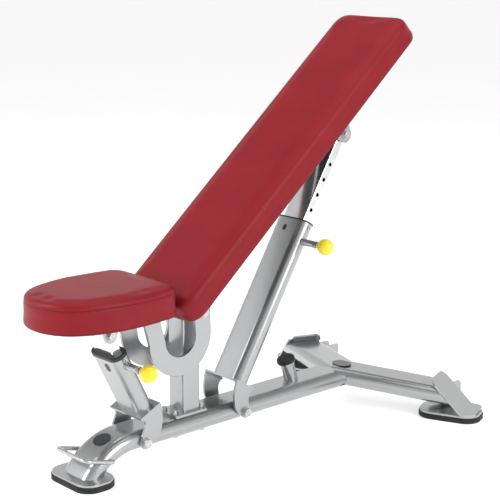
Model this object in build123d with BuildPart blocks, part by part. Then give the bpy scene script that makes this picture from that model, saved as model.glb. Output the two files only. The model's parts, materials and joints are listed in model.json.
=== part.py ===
"""Adjustable weight bench: welded base, hinged seat and backrest, two pinned telescopic struts.

Millimetres. +Z is up, +Y points to the backrest end, +X to the knob side, and the origin lies on
the floor under the middle of the bench.
"""
from build123d import *
from math import asin, cos, degrees, radians, sin, sqrt, tan
import os

# ---------------------------------------------------------------- driving dimensions
TUBE_WIDTH = 102.0          # flat-oval tube, long side
TUBE_DEPTH = 43.0           # flat-oval tube, short side
TUBE_WALL = 3.0
TUBE_Z = 75.5               # height of the main tube's centre line
WELD_GAP = 0.3              # air between curved faces on different bodies

FOOT_LENGTH = 156.0
FOOT_WIDTH = 94.0
FOOT_RADIUS = 38.0
RUBBER_HEIGHT = 14.0
RUBBER_LIP = 2.0
FOOT_PLATE = 5.0
FOOT_TOP = RUBBER_HEIGHT + FOOT_PLATE

FRONT_FOOT_Y = -452.0
FRONT_BEND_Y = -334.0       # where the main tube starts to bend down
FRONT_BEND_RADIUS = 145.0
JUNCTION_Y = 374.0          # where the rear legs' centre lines meet
LEG_Z = 76.0
LEG_ANGLE = 23.0            # each rear leg's sweep back from the X axis
LEG_FALL = 3.0              # each rear leg's fall towards its foot
LEG_FOOT_REACH = 297.0      # junction to foot centre, along the leg
END_PLATE_REACH = 335.0     # junction to the end plate's bend
END_PLATE_WIDTH = 98.0
END_PLATE_TOP = 101.0

POST_Y = -156.0
POST_X = 55.0
POST_DEPTH = 50.0
HINGE_Y = -144.0            # the axle that carries the seat and the backrest
HINGE_Z = 346.0
HINGE_AXLE_RADIUS = 8.0
BARREL_RADIUS = 20.0
RUNNING_GAP = 0.05          # radial clearance of pins in their bores

STRUT_BOLT_RADIUS = 7.0
SADDLE_IN = 52.5            # inner face of a saddle's wings
SADDLE_PLATE = 6.0
SADDLE_TOP_LOW = 55.0       # under side of a saddle's top plate, along the strut from its pivot
SADDLE_TOP_PLATE = 5.0
INNER_WIDTH = 70.0          # chromed inner tube of a strut
INNER_DEPTH = 25.0
INNER_WALL = 2.5
HOLE_RADIUS = 4.9

SEAT_PIVOT = (-316.0, 72.0)     # Y, Z of the seat strut's lower bolt
SEAT_EYE = (-397.0, 336.0)      # Y, Z of the seat strut's upper bolt
SEAT_STRUT_ANGLE = 116.3
SEAT_SLEEVE_END = 212.0         # sleeve's mouth, along the strut from its pivot
SEAT_PLUNGER_AT = 190.0
SEAT_INNER_LENGTH = 196.0       # inner tube below its upper bolt
SEAT_HOLE_PITCH = 29.0
SEAT_HOLES = 3

BACK_PIVOT = (-14.0, 74.0)
BACK_EYE = (329.0, 708.0)
BACK_STRUT_ANGLE = 58.7
BACK_SLEEVE_END = 478.0
BACK_PLUNGER_AT = 431.0
BACK_INNER_LENGTH = 458.0
BACK_HOLE_PITCH = 41.2
BACK_HOLES_UP = 5               # holes above the pin at rest
BACK_HOLES_DOWN = 3             # holes below the pin at rest

BACK_ANGLE = 40.2               # backrest above level, at rest
BACK_FACE = 101.5                # hinge axle to the backrest's face
SEAT_THICK = 72.0
BACK_THICK = 61.0
BOARD_THICK = 12.0
PAD_TOP_Z = 441.0
MOUNT_PLATE = 5.0

KNOB_RADIUS = 20.0
KNOB_X = 128.0
HOUSING_RADIUS = 7.5
HOUSING_END_X = 100.0


def finish(piece, label):
    """Name a finished sub-part and write its file."""
    piece.part.label = label
    export_step(piece.part, f"parts/{label}.step")


def side_plane(x):
    """A plane square to X, drawn in (Y, Z)."""
    return Plane(origin=(x, 0, 0), x_dir=(0, 1, 0), z_dir=(1, 0, 0))


# ---------------------------------------------------------------- frames of the struts and the back
def strut_offset(pivot, eye, angle):
    """Signed distance of a strut's centre line from its lower bolt."""
    dy = eye[0] - pivot[0]
    dz = eye[1] - pivot[1]
    return dz * cos(radians(angle)) - dy * sin(radians(angle))


def strut_plane(pivot, eye, angle, along):
    """A plane square to a strut. Local x is +X, local z runs up the strut."""
    offset = strut_offset(pivot, eye, angle)
    up = (cos(radians(angle)), sin(radians(angle)))
    side = (-sin(radians(angle)), cos(radians(angle)))
    y = pivot[0] + up[0] * along + side[0] * offset
    z = pivot[1] + up[1] * along + side[1] * offset
    return Plane(origin=(0, y, z), x_dir=(1, 0, 0), z_dir=(0, up[0], up[1]))


def eye_distance(pivot, eye, angle):
    """Distance of a strut's upper bolt from its lower one, measured along the strut."""
    return (eye[0] - pivot[0]) * cos(radians(angle)) + (eye[1] - pivot[1]) * sin(radians(angle))


def seat_strut(along):
    return strut_plane(SEAT_PIVOT, SEAT_EYE, SEAT_STRUT_ANGLE, along)


def back_strut(along):
    return strut_plane(BACK_PIVOT, BACK_EYE, BACK_STRUT_ANGLE, along)


def strut_side(plane, x):
    """A plane square to X in a strut's frame. Local x runs up the strut, local y to its rear."""
    return Plane(origin=plane.origin + Vector(x, 0, 0), x_dir=plane.z_dir, z_dir=(1, 0, 0))


BACK_ALONG = Vector(0, cos(radians(BACK_ANGLE)), sin(radians(BACK_ANGLE)))
BACK_NORMAL = Vector(0, -sin(radians(BACK_ANGLE)), cos(radians(BACK_ANGLE)))
HINGE = Vector(0, HINGE_Y, HINGE_Z)


def back_side(x):
    """A plane square to X in the backrest's frame: (along the back, out towards its face)."""
    return Plane(origin=HINGE + Vector(x, 0, 0), x_dir=BACK_ALONG, z_dir=(1, 0, 0))


def back_layer(height):
    """A plane along the backrest, at a height over the hinge. Local x is +X, local y up the back."""
    return Plane(origin=HINGE + BACK_NORMAL * height, x_dir=(1, 0, 0), z_dir=BACK_NORMAL)


def leg_plane(side, along, height=None):
    """A plane square to a rear leg, with local x towards the rear. side is 1 for +X, -1 for -X."""
    sweep = radians(LEG_ANGLE)
    fall = radians(LEG_FALL)
    direction = Vector(side * cos(sweep) * cos(fall), sin(sweep) * cos(fall), -sin(fall))
    origin = Vector(0, JUNCTION_Y, LEG_Z) + direction * along
    return Plane(origin=origin, x_dir=(-side * sin(sweep), cos(sweep), 0), z_dir=direction)


def leg_side(side):
    """The upright plane through a rear leg, drawn in (reach from the junction, height)."""
    sweep = radians(LEG_ANGLE)
    out = Vector(side * cos(sweep), sin(sweep), 0)
    return Plane(origin=(0, JUNCTION_Y, 0), x_dir=out, z_dir=out.cross(Vector(0, 0, 1)))


def foot_centre(side):
    sweep = radians(LEG_ANGLE)
    return (side * LEG_FOOT_REACH * cos(sweep), JUNCTION_Y + LEG_FOOT_REACH * sin(sweep))


def foot_plane(side, height):
    x, y = foot_centre(side)
    sweep = radians(LEG_ANGLE)
    return Plane(origin=(x, y, height), x_dir=(cos(sweep), side * sin(sweep), 0), z_dir=(0, 0, 1))


os.makedirs("parts", exist_ok=True)

# ================================================================ base frame
# ---------------------------------------------------------------- rear legs
END_PLATE_TILT = 45.0
LEG_STUB = 400.0


def end_wedge(side, grow):
    """Everything beyond a rear leg's end plate, which leans in over the foot."""
    rise = 200.0
    with BuildPart(mode=Mode.PRIVATE) as wedge:
        with BuildSketch(leg_side(side)):
            with BuildLine():
                Polyline(
                    (END_PLATE_REACH - grow + FOOT_TOP, 0),
                    (END_PLATE_REACH - grow + FOOT_TOP - rise, rise),
                    (END_PLATE_REACH + rise, rise),
                    (END_PLATE_REACH + rise, 0),
                    close=True,
                )
            make_face()
        extrude(amount=120, both=True)
    return wedge.part


def rear_leg(side):
    """One flat-oval leg, mitred on the middle plane and cut to its end plate."""
    half = Box(1000, 1000, 400, align=(Align.MIN if side > 0 else Align.MAX, Align.CENTER, Align.CENTER))
    middle = Pos(0, JUNCTION_Y, LEG_Z) * half
    with BuildPart() as leg:
        with BuildSketch(leg_plane(side, -60)):
            SlotOverall(TUBE_WIDTH, TUBE_DEPTH)
            SlotOverall(TUBE_WIDTH - 2 * TUBE_WALL, TUBE_DEPTH - 2 * TUBE_WALL, mode=Mode.SUBTRACT)
        extrude(amount=LEG_STUB + 60)
        add(middle, mode=Mode.INTERSECT)
        add(end_wedge(side, 0), mode=Mode.SUBTRACT)
    return leg


rear_leg_right = rear_leg(1)
finish(rear_leg_right, "rear_leg_right")
rear_leg_left = rear_leg(-1)
finish(rear_leg_left, "rear_leg_left")


def leg_filled(side):
    """A rear leg's outer form, used to cut what is welded to it."""
    with BuildPart(mode=Mode.PRIVATE) as form:
        with BuildSketch(leg_plane(side, -60)):
            SlotOverall(TUBE_WIDTH, TUBE_DEPTH)
        extrude(amount=LEG_STUB + 60)
    return form.part


LEG_FORMS = [leg_filled(1), leg_filled(-1)]

# ---------------------------------------------------------------- main tube with its bent front leg
CRUSH_TUBE_RADIUS = 11.0    # cross tubes that the strut bolts pass through

with BuildPart() as main_tube:
    with BuildLine(side_plane(0)) as tube_line:
        run = Line((JUNCTION_Y, TUBE_Z), (FRONT_BEND_Y, TUBE_Z))
        JernArc(start=run @ 1, tangent=run % 1, radius=FRONT_BEND_RADIUS, arc_size=62)
    with BuildSketch(Plane(origin=(0, JUNCTION_Y, TUBE_Z), x_dir=(1, 0, 0), z_dir=(0, -1, 0))):
        SlotOverall(TUBE_WIDTH, TUBE_DEPTH)
        SlotOverall(TUBE_WIDTH - 2 * TUBE_WALL, TUBE_DEPTH - 2 * TUBE_WALL, mode=Mode.SUBTRACT)
    sweep(path=tube_line.wires()[0])
    split(bisect_by=Plane.XY.offset(FOOT_TOP), keep=Keep.TOP)
    for form in LEG_FORMS:
        add(form, mode=Mode.SUBTRACT)
    for pivot in (SEAT_PIVOT, BACK_PIVOT):
        with BuildSketch(side_plane(-TUBE_WIDTH)):
            with Locations(pivot):
                Circle(CRUSH_TUBE_RADIUS)
        extrude(amount=2 * TUBE_WIDTH, mode=Mode.SUBTRACT)
    with BuildSketch(side_plane(-SADDLE_IN + WELD_GAP)):
        with Locations(SEAT_PIVOT, BACK_PIVOT):
            Circle(CRUSH_TUBE_RADIUS)
            Circle(STRUT_BOLT_RADIUS, mode=Mode.SUBTRACT)
    extrude(amount=2 * (SADDLE_IN - WELD_GAP))
finish(main_tube, "main_tube")

# ---------------------------------------------------------------- feet
def foot_plate(plane):
    with BuildPart() as plate:
        with BuildSketch(plane):
            RectangleRounded(FOOT_LENGTH, FOOT_WIDTH, FOOT_RADIUS)
        extrude(amount=FOOT_PLATE)
        fillet(plate.edges().group_by(Axis.Z)[-1], 1.2)
    return plate


def foot_rubber(plane):
    with BuildPart() as rubber:
        with BuildSketch(plane):
            RectangleRounded(FOOT_LENGTH + 2 * RUBBER_LIP, FOOT_WIDTH + 2 * RUBBER_LIP,
                             FOOT_RADIUS + RUBBER_LIP)
        extrude(amount=RUBBER_HEIGHT)
        fillet(rubber.edges().group_by(Axis.Z)[-1], 1.5)
        chamfer(rubber.edges().group_by(Axis.Z)[0], 1.5)
    return rubber


FRONT_FOOT = Plane(origin=(0, FRONT_FOOT_Y, 0))
front_foot_plate = foot_plate(FRONT_FOOT.offset(RUBBER_HEIGHT))
finish(front_foot_plate, "front_foot_plate")
front_foot_rubber = foot_rubber(FRONT_FOOT)
finish(front_foot_rubber, "front_foot_rubber")
for side, word in ((1, "right"), (-1, "left")):
    rear_foot_rubber = foot_rubber(foot_plane(side, 0))
    finish(rear_foot_rubber, f"rear_foot_rubber_{word}")

# ---------------------------------------------------------------- end plates of the rear legs
END_PLATE_THICK = 5.0
END_FLANGE = 34.0


def end_plate(side):
    """A strip bent up from the foot plate, leaning in to close the leg's end."""
    thick = END_PLATE_THICK
    lean = thick * sqrt(2)
    top = END_PLATE_TOP
    bend = END_PLATE_REACH + FOOT_TOP
    with BuildPart() as plate:
        with BuildSketch(leg_side(side)):
            with BuildLine():
                Polyline(
                    (bend - FOOT_TOP, FOOT_TOP),
                    (bend - top, top),
                    (bend - top + lean / 2, top + lean / 2),
                    (bend - FOOT_TOP + lean - thick, FOOT_TOP + thick),
                    (bend - FOOT_TOP + END_FLANGE, FOOT_TOP + thick),
                    (bend - FOOT_TOP + END_FLANGE, FOOT_TOP),
                    close=True,
                )
            make_face()
        extrude(amount=END_PLATE_WIDTH / 2, both=True)
        corners = plate.edges().filter_by(lambda edge: abs(edge.length - thick) < 0.01)
        top_corners = corners.group_by(Axis.Z)[-1]
        fillet(top_corners, 24)
        outer_corners = plate.edges().filter_by(Axis.Z)
        fillet(outer_corners, 22)
    return plate


for side, word in ((1, "right"), (-1, "left")):
    flat_part = foot_plate(foot_plane(side, RUBBER_HEIGHT))
    leaning_part = end_plate(side)
    with BuildPart() as rear_foot_plate:
        add(flat_part.part)
        add(leaning_part.part)
    finish(rear_foot_plate, f"rear_foot_plate_{word}")

# ---------------------------------------------------------------- lift handle across the front leg
HANDLE_ROD = 5.0
HANDLE_HALF = 56.5
HANDLE_FRONT = (-482.0, 70.0)
HANDLE_REAR = (-408.0, 50.0)
handle_rise = (HANDLE_FRONT[1] - HANDLE_REAR[1]) / (HANDLE_FRONT[0] - HANDLE_REAR[0])
handle_reach = sqrt((HANDLE_FRONT[1] - HANDLE_REAR[1]) ** 2 + (HANDLE_FRONT[0] - HANDLE_REAR[0]) ** 2)
handle_plane = Plane(
    origin=(0, HANDLE_REAR[0], HANDLE_REAR[1]),
    x_dir=(1, 0, 0),
    z_dir=Vector(0, handle_rise, -1),
)
with BuildPart() as lift_handle:
    with BuildLine(handle_plane) as handle_line:
        FilletPolyline(
            (HANDLE_HALF, 0),
            (HANDLE_HALF, handle_reach),
            (-HANDLE_HALF, handle_reach),
            (-HANDLE_HALF, 0),
            radius=14,
        )
    start = handle_line.wires()[0]
    with BuildSketch(Plane(origin=start @ 0, z_dir=start % 0)):
        Circle(HANDLE_ROD)
    sweep()
finish(lift_handle, "lift_handle")

# ---------------------------------------------------------------- transport wheels and their brackets
WHEEL_X = 220.0
WHEEL_Y = 545.0
WHEEL_Z = 42.0
WHEEL_RADIUS = 20.5
WHEEL_HALF = 13.0
FORK_HALF = 20.0
FORK_PLATE = 4.0
WHEEL_AXLE_RADIUS = 4.0

wheel_forks = []
for side, word in ((1, "right"), (-1, "left")):
    with BuildPart() as wheel_fork:
        for face in (-FORK_HALF, FORK_HALF - FORK_PLATE):
            with BuildSketch(side_plane(side * WHEEL_X + face)):
                with BuildLine():
                    Polyline((490, 34), (562, 34), (568, 40), (568, 64), (562, 70), (490, 70), close=True)
                make_face()
                with Locations((WHEEL_Y, WHEEL_Z)):
                    Circle(WHEEL_AXLE_RADIUS, mode=Mode.SUBTRACT)
            extrude(amount=FORK_PLATE)
        with BuildSketch(Plane(origin=(side * WHEEL_X, 0, 66))):
            with Locations((0, 510)):
                Rectangle(2 * FORK_HALF, 40)
        extrude(amount=4)
        add(LEG_FORMS[0 if side > 0 else 1], mode=Mode.SUBTRACT)
        add(wheel_fork.part.solids().sort_by(SortBy.VOLUME)[-1], mode=Mode.INTERSECT)
    wheel_forks.append(wheel_fork.part)

    with BuildPart() as wheel_tyre:
        with BuildSketch(side_plane(side * WHEEL_X - WHEEL_HALF)):
            with Locations((WHEEL_Y, WHEEL_Z)):
                Circle(WHEEL_RADIUS)
                Circle(WHEEL_RADIUS - 6, mode=Mode.SUBTRACT)
        extrude(amount=2 * WHEEL_HALF)
        fillet(wheel_tyre.edges().filter_by(lambda edge: edge.length > 110), 3)
    finish(wheel_tyre, f"wheel_tyre_{word}")

    with BuildPart() as wheel_hub:
        with BuildSketch(side_plane(side * WHEEL_X - WHEEL_HALF)):
            with Locations((WHEEL_Y, WHEEL_Z)):
                Circle(WHEEL_RADIUS - 6)
        extrude(amount=2 * WHEEL_HALF)
        with BuildSketch(side_plane(side * WHEEL_X - WHEEL_HALF - 2.5)):
            with Locations((WHEEL_Y, WHEEL_Z)):
                Circle(8)
        extrude(amount=2 * WHEEL_HALF + 5)
        with BuildSketch(side_plane(side * WHEEL_X - 2 * WHEEL_HALF)):
            with Locations((WHEEL_Y, WHEEL_Z)):
                Circle(WHEEL_AXLE_RADIUS + RUNNING_GAP)
        extrude(amount=4 * WHEEL_HALF, mode=Mode.SUBTRACT)
    finish(wheel_hub, f"wheel_hub_{word}")

with BuildPart() as wheel_brackets:
    for fork in wheel_forks:
        add(fork)
finish(wheel_brackets, "wheel_brackets")

with BuildPart() as wheel_axles:
    for side in (1, -1):
        with BuildSketch(side_plane(side * WHEEL_X - FORK_HALF - 3)):
            with Locations((WHEEL_Y, WHEEL_Z)):
                Circle(WHEEL_AXLE_RADIUS)
        extrude(amount=2 * FORK_HALF + 6)
        for face, thick in ((-FORK_HALF - 5, 5), (FORK_HALF, 5)):
            with BuildSketch(side_plane(side * WHEEL_X + face)):
                with Locations((WHEEL_Y, WHEEL_Z)):
                    RegularPolygon(7, 6)
            extrude(amount=thick)
finish(wheel_axles, "wheel_axles")

# ---------------------------------------------------------------- post that carries the hinge axle
TUBE_TOP = TUBE_Z + TUBE_DEPTH / 2
FLANGE_PLATE = 6.0
FLANGE_Y = POST_Y - 6.0
FLANGE_LENGTH = 98.0
FLANGE_WIDTH = 74.0
POST_TOP = HINGE_Z - 16.0
POST_BOLT_X = 20.0
POST_BOLT_Y = 40.0

with BuildPart() as post:
    with BuildSketch(Plane(origin=(0, FLANGE_Y, TUBE_TOP))):
        RectangleRounded(FLANGE_WIDTH, FLANGE_LENGTH, 8)
        with GridLocations(2 * POST_BOLT_X, 2 * POST_BOLT_Y, 2, 2):
            Circle(4.5, mode=Mode.SUBTRACT)
    extrude(amount=FLANGE_PLATE)
    with BuildSketch(Plane(origin=(0, POST_Y, TUBE_TOP + FLANGE_PLATE))):
        RectangleRounded(POST_X, POST_DEPTH, 5)
        RectangleRounded(POST_X - 6, POST_DEPTH - 6, 2, mode=Mode.SUBTRACT)
    extrude(amount=POST_TOP - TUBE_TOP - FLANGE_PLATE)
    with BuildSketch(side_plane(-POST_X)):
        with Locations((HINGE_Y, HINGE_Z)):
            Circle(BARREL_RADIUS)
    extrude(amount=2 * POST_X, mode=Mode.SUBTRACT)
    with BuildSketch(side_plane(-POST_X / 2)):
        with Locations((HINGE_Y, HINGE_Z)):
            Circle(BARREL_RADIUS)
            Circle(HINGE_AXLE_RADIUS, mode=Mode.SUBTRACT)
    extrude(amount=POST_X)
finish(post, "post")

with BuildPart() as post_backing_plate:
    with BuildSketch(Plane(origin=(0, FLANGE_Y, TUBE_Z - TUBE_DEPTH / 2))):
        RectangleRounded(56, FLANGE_LENGTH, 5)
        with GridLocations(2 * POST_BOLT_X, 2 * POST_BOLT_Y, 2, 2):
            Circle(4.5, mode=Mode.SUBTRACT)
    extrude(amount=-4)
finish(post_backing_plate, "post_backing_plate")

with BuildPart() as post_bolts:
    for x in (-POST_BOLT_X, POST_BOLT_X):
        for y in (FLANGE_Y - POST_BOLT_Y, FLANGE_Y + POST_BOLT_Y):
            with BuildSketch(Plane(origin=(x, y, TUBE_TOP + FLANGE_PLATE))):
                RegularPolygon(8, 6)
            extrude(amount=6)
            with BuildSketch(Plane(origin=(x, y, TUBE_TOP + FLANGE_PLATE))):
                Circle(4.5)
            extrude(amount=9)
            with BuildSketch(Plane(origin=(x, y, TUBE_TOP))):
                Circle(4.5)
            extrude(amount=FLANGE_PLATE)
            with BuildSketch(Plane(origin=(x, y, TUBE_Z - TUBE_DEPTH / 2 - 4))):
                Circle(4.5)
            extrude(amount=4)
            with BuildSketch(Plane(origin=(x, y, TUBE_Z - TUBE_DEPTH / 2 - 4))):
                RegularPolygon(8, 6)
            extrude(amount=-3)
finish(post_bolts, "post_bolts")

RAIL_IN = 38.0              # inner face of the backrest's rails
RAIL_PLATE = 6.0
HOOK_IN = 47.0              # inner face of the seat's hook plates
HOOK_PLATE = 8.0
AXLE_END = HOOK_IN + HOOK_PLATE + 1.5

with BuildPart() as hinge_axle:
    with BuildSketch(side_plane(-AXLE_END)):
        with Locations((HINGE_Y, HINGE_Z)):
            Circle(HINGE_AXLE_RADIUS)
    extrude(amount=2 * AXLE_END)
    for x, thick in ((-AXLE_END - 7, 7), (AXLE_END, 7)):
        with BuildSketch(side_plane(x)):
            with Locations((HINGE_Y, HINGE_Z)):
                Circle(13)
        extrude(amount=thick)
    fillet(hinge_axle.faces().sort_by(Axis.X)[0].edges(), 3)
    fillet(hinge_axle.faces().sort_by(Axis.X)[-1].edges(), 3)
finish(hinge_axle, "hinge_axle")

with BuildPart() as hinge_spacers:
    for x, thick in (
        (POST_X / 2, RAIL_IN - POST_X / 2 - WELD_GAP),
        (-RAIL_IN + WELD_GAP, RAIL_IN - POST_X / 2 - WELD_GAP),
        (RAIL_IN + RAIL_PLATE + WELD_GAP, HOOK_IN - RAIL_IN - RAIL_PLATE - 2 * WELD_GAP),
        (-HOOK_IN + WELD_GAP, HOOK_IN - RAIL_IN - RAIL_PLATE - 2 * WELD_GAP),
    ):
        with BuildSketch(side_plane(x)):
            with Locations((HINGE_Y, HINGE_Z)):
                Circle(14)
                Circle(HINGE_AXLE_RADIUS, mode=Mode.SUBTRACT)
        extrude(amount=thick)
finish(hinge_spacers, "hinge_spacers")

# ---------------------------------------------------------------- bumper that the back strut comes down on
BUMPER_LEAN = 19.5
BUMPER_BASE_Y = 192.0
BUMPER_LENGTH = 63.0
bumper_axis = Vector(0, -sin(radians(BUMPER_LEAN)), cos(radians(BUMPER_LEAN)))
bumper_foot = Vector(0, BUMPER_BASE_Y, TUBE_TOP) - bumper_axis * 12

with BuildPart() as bumper_stem:
    with BuildSketch(Plane(origin=bumper_foot, x_dir=(1, 0, 0), z_dir=bumper_axis)):
        Circle(17.5)
    extrude(amount=BUMPER_LENGTH)
    with BuildSketch(Plane(origin=bumper_foot + bumper_axis * BUMPER_LENGTH, x_dir=(1, 0, 0), z_dir=bumper_axis)):
        Circle(21.5)
    extrude(amount=3.5)
    split(bisect_by=Plane.XY.offset(TUBE_TOP), keep=Keep.TOP)
finish(bumper_stem, "bumper_stem")

with BuildPart() as bumper_cap:
    with BuildSketch(Plane(origin=bumper_foot + bumper_axis * (BUMPER_LENGTH + 3.5), x_dir=(1, 0, 0),
                           z_dir=bumper_axis)):
        Circle(23)
    extrude(amount=9)
    fillet(bumper_cap.faces().sort_by(Axis.Z)[-1].edges(), 3)
finish(bumper_cap, "bumper_cap")

# ---------------------------------------------------------------- plain round badges
BADGE_RADIUS = 21.0
BADGE_LIFT = 2.0
badge_turn = radians(22.0)
badge_arc = FRONT_BEND_RADIUS + TUBE_DEPTH / 2
badge_normal = Vector(0, -sin(badge_turn), cos(badge_turn))
bend_centre = Vector(0, FRONT_BEND_Y, TUBE_Z - FRONT_BEND_RADIUS)

with BuildPart() as front_badge:
    with BuildSketch(Plane(origin=bend_centre + badge_normal * (badge_arc - 6), x_dir=(1, 0, 0),
                           z_dir=badge_normal)):
        Circle(BADGE_RADIUS)
    extrude(amount=20)
    with BuildSketch(side_plane(-40)):
        with Locations((FRONT_BEND_Y, TUBE_Z - FRONT_BEND_RADIUS)):
            Circle(badge_arc + BADGE_LIFT)
            Circle(badge_arc, mode=Mode.SUBTRACT)
    extrude(amount=80, mode=Mode.INTERSECT)

with BuildPart() as rear_badge:
    with BuildSketch(Plane(origin=(0, JUNCTION_Y, TUBE_TOP))):
        SlotOverall(54, 40)
    extrude(amount=BADGE_LIFT + 1)
    for form in LEG_FORMS:
        add(form, mode=Mode.SUBTRACT)

with BuildPart() as badges:
    add(front_badge.part)
    add(rear_badge.part)
finish(badges, "badges")


# ================================================================ struts
SLEEVE_START = SADDLE_TOP_LOW + SADDLE_TOP_PLATE
BUSH_FIT = 0.4              # air between an inner tube and its bush
PIN_RADIUS = 4.4
SLEEVE_HALF = TUBE_WIDTH / 2
PIN_TIP_X = INNER_WIDTH / 2 + 0.5


def saddle(strut, pivot, eye, angle):
    """A top plate under the sleeve with two curved wings that straddle the main tube."""
    offset = strut_offset(pivot, eye, angle)
    way = 1 if offset > 0 else -1
    centre = abs(offset)
    up = Vector(0, cos(radians(angle)), sin(radians(angle)))
    pivot_point = Vector(0, pivot[0], pivot[1])
    turn = 1 if way > 0 else -1
    low = SADDLE_TOP_LOW
    with BuildPart() as bracket:
        with BuildSketch(strut(low)):
            Rectangle(2 * (SADDLE_IN + SADDLE_PLATE), 62)
        extrude(amount=SADDLE_TOP_PLATE)
        for x in (-SADDLE_IN - SADDLE_PLATE, SADDLE_IN):
            wing_plane = Plane(origin=pivot_point + Vector(x, 0, 0), x_dir=up, z_dir=(1, 0, 0))
            with BuildSketch(wing_plane):
                with BuildLine():
                    Line((low, turn * (centre - 31)), (low, turn * (centre + 31)))
                    Spline(
                        (low, turn * (centre + 31)),
                        (30, turn * (centre + 23)),
                        (6, turn * (centre + 9)),
                        (-13.5, turn * 6.5),
                    )
                    ThreePointArc((-13.5, turn * 6.5), (0, turn * -15), (13.5, turn * -6.5))
                    Spline(
                        (13.5, turn * -6.5),
                        (25, turn * 5),
                        (44, turn * (centre - 24)),
                        (low, turn * (centre - 31)),
                    )
                make_face()
                Circle(STRUT_BOLT_RADIUS + RUNNING_GAP, mode=Mode.SUBTRACT)
            extrude(amount=SADDLE_PLATE)
    return bracket


def sleeve(strut, end, plunger_at, plug_at, plug_x, plug_size):
    """A flat-oval outer tube with a pin hole in its side and a slot for a guide plug."""
    with BuildPart() as tube:
        with BuildSketch(strut(SLEEVE_START)):
            SlotOverall(TUBE_WIDTH, TUBE_DEPTH)
            SlotOverall(TUBE_WIDTH - 2 * TUBE_WALL, TUBE_DEPTH - 2 * TUBE_WALL, mode=Mode.SUBTRACT)
        extrude(amount=end - SLEEVE_START)
        with BuildSketch(strut_side(strut(plunger_at), 30)):
            Circle(PIN_RADIUS + 1)
        extrude(amount=40, mode=Mode.SUBTRACT)
        with BuildSketch(plug_face(strut(plug_at), plug_x, TUBE_DEPTH / 2 + 1)):
            SlotOverall(*plug_size)
        extrude(amount=-TUBE_WALL - 2, mode=Mode.SUBTRACT)
    return tube


def plug_face(plane, x, height):
    """A plane on a sleeve's front face. Local x runs up the strut."""
    origin = plane.origin + Vector(x, 0, 0) - plane.y_dir * height
    return Plane(origin=origin, x_dir=plane.z_dir, z_dir=-plane.y_dir)


def guide_plug(strut, plug_at, plug_x, plug_size):
    with BuildPart() as plug:
        with BuildSketch(plug_face(strut(plug_at), plug_x, TUBE_DEPTH / 2 + 0.6)):
            SlotOverall(*plug_size)
        extrude(amount=-TUBE_WALL - 0.4)
    return plug


def bush(strut, end, rim, liner):
    """A plastic bush: a rim on the sleeve's mouth and a liner inside it."""
    with BuildPart() as part:
        with BuildSketch(strut(end)):
            SlotOverall(TUBE_WIDTH + 3, TUBE_DEPTH + 3)
            Rectangle(INNER_WIDTH + 2 * BUSH_FIT, INNER_DEPTH + 2 * BUSH_FIT, mode=Mode.SUBTRACT)
        extrude(amount=rim)
        fillet(part.faces().sort_by(lambda face: -(face.center() - strut(end).origin).dot(strut(end).z_dir))[0]
               .outer_wire().edges(), rim * 0.4)
        with BuildSketch(strut(end)):
            SlotOverall(TUBE_WIDTH - 2 * TUBE_WALL, TUBE_DEPTH - 2 * TUBE_WALL)
            Rectangle(INNER_WIDTH + 2 * BUSH_FIT, INNER_DEPTH + 2 * BUSH_FIT, mode=Mode.SUBTRACT)
        extrude(amount=-liner)
    return part


HOUSING_BORE = PIN_RADIUS + RUNNING_GAP
SPRING_BORE = 6.3
SPRING_ROOM = (56.0, 92.0)      # the housing's wide bore, from its root to its cap
PIN_COLLAR = (58.0, 62.0)
SPRING_TURNS = 7
SPRING_WIRE = 0.7
SPRING_PITCH = 2.2
SPRING_START_X = 76.0


def plunger_housing(strut, at):
    """The barrel of a spring plunger, welded to the sleeve's side on a round boss."""
    with BuildPart() as housing:
        with BuildSketch(strut_side(strut(at), SLEEVE_HALF - 3)):
            Circle(HOUSING_RADIUS + 1.8)
        extrude(amount=9)
        with BuildSketch(strut_side(strut(at), SLEEVE_HALF)):
            Circle(HOUSING_RADIUS + 1)
        extrude(amount=HOUSING_END_X - SLEEVE_HALF)
        with BuildSketch(strut_side(strut(at), HOUSING_END_X - 8)):
            RegularPolygon(HOUSING_RADIUS + 2, 6)
        extrude(amount=6)
        with BuildSketch(strut(SLEEVE_START)):
            SlotOverall(TUBE_WIDTH, TUBE_DEPTH)
        extrude(amount=500, mode=Mode.SUBTRACT)
        with BuildSketch(strut_side(strut(at), 30)):
            Circle(HOUSING_BORE)
        extrude(amount=100, mode=Mode.SUBTRACT)
        with BuildSketch(strut_side(strut(at), SPRING_ROOM[0])):
            Circle(SPRING_BORE)
        extrude(amount=SPRING_ROOM[1] - SPRING_ROOM[0], mode=Mode.SUBTRACT)
    return housing


def plunger_spring(strut, at):
    """The spring's turns at their closed length, against the housing's cap."""
    with BuildPart() as spring:
        for turn in range(SPRING_TURNS):
            x = SPRING_START_X + turn * SPRING_PITCH
            with BuildSketch(Plane(origin=strut(at).origin, x_dir=(1, 0, 0), z_dir=strut(at).y_dir)):
                with Locations((x, PIN_RADIUS + 1)):
                    Circle(SPRING_WIRE)
            revolve(axis=Axis(strut(at).origin, (1, 0, 0)))
    return spring


def plunger_pin(strut, at):
    with BuildPart() as pin:
        with BuildSketch(strut_side(strut(at), PIN_TIP_X)):
            Circle(PIN_RADIUS)
        extrude(amount=KNOB_X - 8 - PIN_TIP_X)
        with BuildSketch(strut_side(strut(at), PIN_COLLAR[0])):
            Circle(SPRING_BORE - 0.2)
        extrude(amount=PIN_COLLAR[1] - PIN_COLLAR[0])
        chamfer(pin.faces().sort_by(Axis.X)[0].edges(), 1.5)
    return pin


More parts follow.
